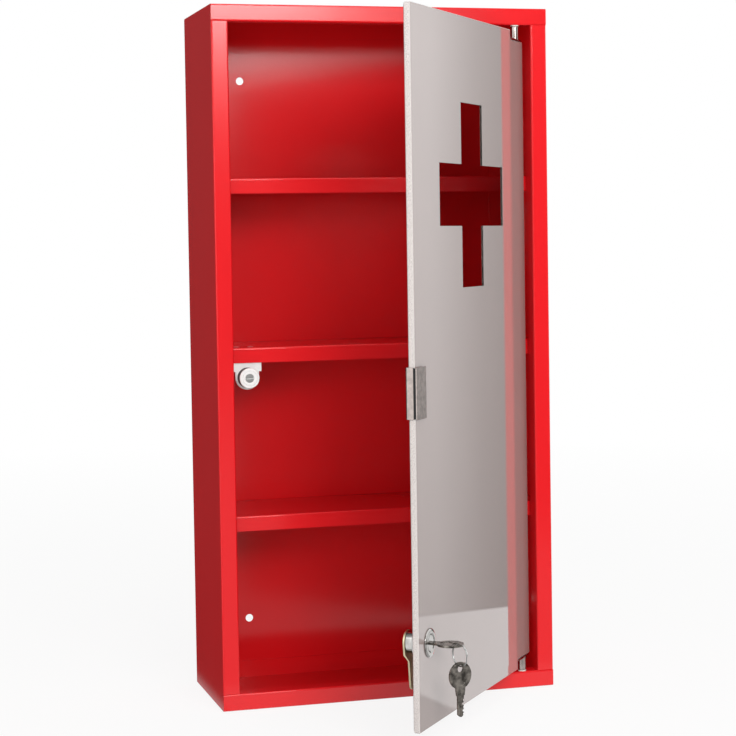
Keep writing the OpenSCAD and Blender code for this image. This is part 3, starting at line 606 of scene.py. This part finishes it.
class CABINET_OT_keys(CabinetOperator, bpy.types.Operator):
    """Finishes the two keys and winds the split ring"""
    bl_idname = "cabinet.keys"
    bl_label = "Keys and split ring"

    # The wire's section, out from the ring and along its axis, as shares of a coil's thickness.
    section = (1.4, 0.97, 1)
    # The ring's wind: degrees, steps and rise per step as a share of a coil's thickness.
    wind = ((327, 60, 0), (30, 6, 1 / 6), (327, 60, 0))

    def wind_ring(self):
        """Two flat coils side by side, each half the ring's thickness, joined by a short slant."""
        coil = self.sizes.ring_wire / 2
        centre = (RING_BOX[0] + RING_BOX[1]) / 2
        radius = (RING_BOX[1] - RING_BOX[0]).z / 2 - coil
        normal = RING_AXIS.cross(Vector((0, 0, 1))).normalized()
        shape = bmesh.new()
        bmesh.ops.create_circle(shape, cap_ends=True, radius=coil / 2, segments=12)
        bmesh.ops.scale(shape, vec=self.section, verts=shape.verts)
        # Local X becomes outwards, local Y becomes the ring's axis.
        turned = Matrix((RING_AXIS, normal, RING_AXIS.cross(normal))).transposed().to_4x4()
        start = Matrix.Translation(centre + RING_AXIS * radius - normal * coil / 2)
        bmesh.ops.transform(shape, matrix=start @ turned, verts=shape.verts)
        end = shape.faces[:] + shape.edges[:] + shape.verts[:]
        for turn, steps, rise in self.wind:
            end = bmesh.ops.spin(shape, geom=end, cent=centre, axis=normal,
                                 dvec=normal * coil * rise, angle=radians(turn), steps=steps,
                                 use_merge=False, use_duplicate=False)["geom_last"]
        bmesh.ops.remove_doubles(shape, verts=shape.verts, dist=MERGE)
        bmesh.ops.recalc_face_normals(shape, faces=shape.faces)
        return shape

    def execute(self, context):
        for node, body in (("key_in_lock", "key"), ("spare_key", "spare")):
            softened(node, body, "key_nickel", self.sizes.key_edge)
        piece(self.wind_ring(), "split_ring", "ring", "zinc_steel", ("key_ring",), smooth=50)
        return {"FINISHED"}


# ---------- Studio ----------

# The photograph's camera: its place in metres, its turn in radians, and its focal length and
# principal point in pixels of the square photograph.
CAMERA_PLACE = (-0.47589, -1.70381, 0.10283)
YAW, PITCH, ROLL = 0.2634, -0.0430, -0.0163
PHOTO_WIDTH, FOCAL_LENGTH = 736, 1914.05
PRINCIPAL_POINT = (332.3, 319.2)
SENSOR_WIDTH = 36.0

# What glass and metal mirror round the horizon, in degrees from the right over the back, with a
# brightness: bright on the left, dark behind the camera, bright on the right up to the line that
# shows in the glass door, and bright again behind the cabinet.
HORIZON = (
    (-180, 0.3), (-168, 0.5), (-160, 1.7), (-140, 1.7),
    (-108, 0.08), (-60, 0.08),
    (-25, 0.8), (28.5, 0.95), (29.9, 0.85), (31.4, 0.28), (34, 0.12), (57, 0.12),
    (61, 1.0), (86, 1.0), (92, 0.05), (140, 0.05), (180, 0.3),
)

# Two soft boxes in front, one of them small and bright, a weak one overhead, and a fill light
# that no mirror image shows: name, place, width and height in metres, power in watts, and the
# point that it faces.
LIGHTS = (
    ("key light", (0.16, -2.35, 0.84), 0.8, 0.6, 20.0, (0.16, 0.0, 0.84)),
    ("broad light", (0.2, -2.5, 0.97), 1.3, 1.08, 10.0, (0.2, 0.0, 0.97)),
    ("top light", (0.1, -1.0, 2.2), 1.2, 1.2, 10.0, (0.0, -0.1, 0.0)),
    ("fill light", (-0.8, -2.4, 0.35), 1.0, 1.0, 10.0, (0.0, -0.1, 0.0)),
)

WHITE = (1, 1, 1, 1)


def ray_masks(tree):
    """Masks of 0 or 1: for rays straight from the camera or through glass, and mirrored ones."""
    rays = add(tree, "ShaderNodeLightPath")
    seen = add(tree, "ShaderNodeMath", {
        0: rays.outputs["Is Camera Ray"], 1: rays.outputs["Is Transmission Ray"]},
        operation="ADD", use_clamp=True)
    # Rays through glass count as glossy too, but only a mirrored one has a glossy depth.
    mirrored = add(tree, "ShaderNodeMath", {
        0: rays.outputs["Glossy Depth"], 1: rays.outputs["Is Glossy Ray"]},
        operation="MULTIPLY", use_clamp=True)
    return seen.outputs[0], mirrored.outputs[0]


def matt_floor_paper(tint):
    """Matt white background paper, rolled out flat: it takes a soft shadow and has no shine."""
    material, tree = new_material("Matt studio floor")
    place = add(tree, "ShaderNodeTexCoord").outputs["Object"]
    axes = add(tree, "ShaderNodeSeparateXYZ", {0: place})
    seen, mirrored = ray_masks(tree)
    # In mirror images the floor ends at the cabinet's left side and 0.45 m to the right of the
    # middle, and it is dimmer in front.
    right = add(tree, "ShaderNodeMapRange", {
        "Value": axes.outputs["X"], "From Min": 0.445, "From Max": 0.455,
        "To Min": 1.0, "To Max": 0.0})
    left = add(tree, "ShaderNodeMapRange", {
        "Value": axes.outputs["X"], "From Min": -0.16, "From Max": -0.14})
    front = add(tree, "ShaderNodeMapRange", {
        "Value": axes.outputs["Y"], "From Min": -0.214, "From Max": -0.206,
        "To Min": 0.55, "To Max": 1.0})
    within = add(tree, "ShaderNodeMath", {0: right.outputs["Result"], 1: left.outputs["Result"]},
                 operation="MULTIPLY")
    beyond = add(tree, "ShaderNodeMath", {0: 1.0, 1: within.outputs[0]}, operation="SUBTRACT")
    gone = add(tree, "ShaderNodeMath", {0: mirrored, 1: beyond.outputs[0]}, operation="MULTIPLY")
    # The camera sees the floor fade to white, so that it has no horizon.
    distance = add(tree, "ShaderNodeVectorMath", {0: place}, operation="LENGTH")
    fade = add(tree, "ShaderNodeMapRange", {
        "Value": distance.outputs["Value"], "From Min": 0.5, "From Max": 2.0,
        "To Min": 0.88, "To Max": 1.0})
    shown = add(tree, "ShaderNodeMath", {0: seen, 1: fade.outputs["Result"]},
                operation="MULTIPLY")
    share = add(tree, "ShaderNodeMath", {0: shown.outputs[0], 1: mirrored}, operation="MAXIMUM")
    glow = add(tree, "ShaderNodeMix", {"Factor": mirrored, "A": 1.0, "B": front.outputs["Result"]})
    matt = add(tree, "ShaderNodeBsdfDiffuse", {"Color": tint})
    white = add(tree, "ShaderNodeEmission", {"Color": WHITE, "Strength": glow.outputs["Result"]})
    paper = add(tree, "ShaderNodeMixShader", {
        0: share.outputs[0], 1: matt.outputs[0], 2: white.outputs[0]})
    nothing = add(tree, "ShaderNodeBsdfTransparent")
    laid = add(tree, "ShaderNodeMixShader", {
        0: gone.outputs[0], 1: paper.outputs[0], 2: nothing.outputs[0]})
    add(tree, "ShaderNodeOutputMaterial", {"Surface": laid.outputs[0]})
    return material


def studio_world():
    """White for the camera, an even grey light for the paint, and HORIZON for mirror images."""
    world = bpy.data.worlds.new("Studio")
    world.use_nodes = True
    tree = world.node_tree
    tree.nodes.clear()
    seen, mirrored = ray_masks(tree)
    direction = add(tree, "ShaderNodeTexCoord").outputs["Generated"]
    around = add(tree, "ShaderNodeTexGradient", {"Vector": direction}, gradient_type="RADIAL")
    walls = add(tree, "ShaderNodeValToRGB", {"Fac": around.outputs["Fac"]})
    # A colour ramp starts with two stops.
    for degrees, _ in HORIZON[2:]:
        walls.color_ramp.elements.new(degrees / 360 + 0.5)
    for stop, (degrees, brightness) in zip(walls.color_ramp.elements, HORIZON):
        stop.position = degrees / 360 + 0.5
        stop.color = (brightness, brightness, brightness, 1)
    # The walls are lit from above, so they darken towards the floor.
    axes = add(tree, "ShaderNodeSeparateXYZ", {0: direction})
    fall = add(tree, "ShaderNodeMapRange", {
        "Value": axes.outputs["Z"], "From Min": -0.2, "From Max": 0.1,
        "To Min": 0.65, "To Max": 1.3})
    lit_walls = add(tree, "ShaderNodeMath", {0: walls.outputs["Color"], 1: fall.outputs["Result"]},
                    operation="MULTIPLY")
    plain = add(tree, "ShaderNodeMix", {"Factor": seen, "A": 0.5, "B": 1.0})
    strength = add(tree, "ShaderNodeMix", {
        "Factor": mirrored, "A": plain.outputs["Result"], "B": lit_walls.outputs[0]})
    sky = add(tree, "ShaderNodeBackground", {
        "Color": WHITE, "Strength": strength.outputs["Result"]})
    add(tree, "ShaderNodeOutputWorld", {"Surface": sky.outputs[0]})
    return world


class CABINET_OT_studio(CabinetOperator, bpy.types.Operator):
    """Lays the pale floor and sets the soft lights, the white surroundings and the camera"""
    bl_idname = "cabinet.studio"
    bl_label = "Studio and camera"

    def lay_floor(self, scene):
        """A floor of 12 by 12 m, 1 mm under the cabinet."""
        shape = bmesh.new()
        bmesh.ops.create_grid(shape, x_segments=1, y_segments=1, size=6.0)
        bmesh.ops.translate(shape, verts=shape.verts, vec=(0, 0, CAD_BOX[0].z - 1 * MM))
        mesh = bpy.data.meshes.new("floor")
        shape.to_mesh(mesh)
        shape.free()
        mesh.materials.append(matt_floor_paper(tuple(scene.cabinet_colours.floor)))
        floor = bpy.data.objects.new("floor", mesh)
        scene.collection.objects.link(floor)

    def hang_light(self, scene, name, place, width, height, power, target):
        """A soft box at a place, facing a target."""
        lamp = bpy.data.lights.new(name, "AREA")
        lamp.shape = "RECTANGLE"
        lamp.size, lamp.size_y = width, height
        lamp.energy = power
        light = bpy.data.objects.new(name, lamp)
        light.location = place
        light.visible_glossy = name != "fill light"
        aim = Vector(target) - light.location
        light.rotation_euler = aim.to_track_quat("-Z", "Y").to_euler()
        scene.collection.objects.link(light)

    def set_camera(self, scene):
        """The photograph's camera, its principal point as a small shift."""
        ahead = Vector((sin(YAW) * cos(PITCH), cos(YAW) * cos(PITCH), sin(PITCH)))
        level = Vector((cos(YAW), -sin(YAW), 0))
        upward = level.cross(ahead)
        right = level * cos(ROLL) + upward * sin(ROLL)
        top = upward * cos(ROLL) - level * sin(ROLL)
        lens = bpy.data.cameras.new("camera")
        lens.sensor_width = SENSOR_WIDTH
        lens.lens = FOCAL_LENGTH / PHOTO_WIDTH * SENSOR_WIDTH
        lens.shift_x = 0.5 - PRINCIPAL_POINT[0] / PHOTO_WIDTH
        lens.shift_y = PRINCIPAL_POINT[1] / PHOTO_WIDTH - 0.5
        lens.clip_start, lens.clip_end = 0.05, 50
        camera = bpy.data.objects.new("camera", lens)
        camera.matrix_world = (Matrix.Translation(CAMERA_PLACE)
                               @ Matrix((right, top, -ahead)).transposed().to_4x4())
        scene.collection.objects.link(camera)
        scene.camera = camera

    def execute(self, context):
        scene = bpy.context.scene
        self.lay_floor(scene)
        scene.world = studio_world()
        for light in LIGHTS:
            self.hang_light(scene, *light)
        self.set_camera(scene)
        scene.view_settings.view_transform = "Standard"
        return {"FINISHED"}


# ---------- Panel, registration and the run ----------

OPERATORS = (CABINET_OT_steel_body, CABINET_OT_magnetic_catch, CABINET_OT_glass_door,
             CABINET_OT_edge_clip, CABINET_OT_pivot_hinges, CABINET_OT_cam_lock,
             CABINET_OT_keys, CABINET_OT_studio)


class CABINET_PT_sidebar(bpy.types.Panel):
    """Lists the cabinet's sizes, colours and pieces"""
    bl_idname = "CABINET_PT_sidebar"
    bl_label = "Medicine cabinet"
    bl_space_type = "VIEW_3D"
    bl_region_type = "UI"
    bl_category = "Cabinet"

    def draw(self, context):
        column = self.layout.column()
        for group, kind in ((context.scene.cabinet_sizes, CabinetSizes),
                            (context.scene.cabinet_colours, CabinetColours)):
            for name in kind.__annotations__:
                column.prop(group, name)
        for operator in OPERATORS:
            column.operator(operator.bl_idname)


CLASSES = (CabinetSizes, CabinetColours) + OPERATORS + (CABINET_PT_sidebar,)


def register():
    """Registers the classes and hangs the sizes and colours on the scene."""
    for each in CLASSES:
        bpy.utils.register_class(each)
    bpy.types.Scene.cabinet_sizes = bpy.props.PointerProperty(type=CabinetSizes)
    bpy.types.Scene.cabinet_colours = bpy.props.PointerProperty(type=CabinetColours)


def unregister():
    """Takes away what register made."""
    del bpy.types.Scene.cabinet_colours
    del bpy.types.Scene.cabinet_sizes
    for each in reversed(CLASSES):
        bpy.utils.unregister_class(each)


def main():
    """Makes every piece in order."""
    register()
    for operator in OPERATORS:
        group, name = operator.bl_idname.split(".")
        getattr(getattr(bpy.ops, group), name)()
    bpy.context.view_layer.update()


if __name__ == "__main__":
    main()
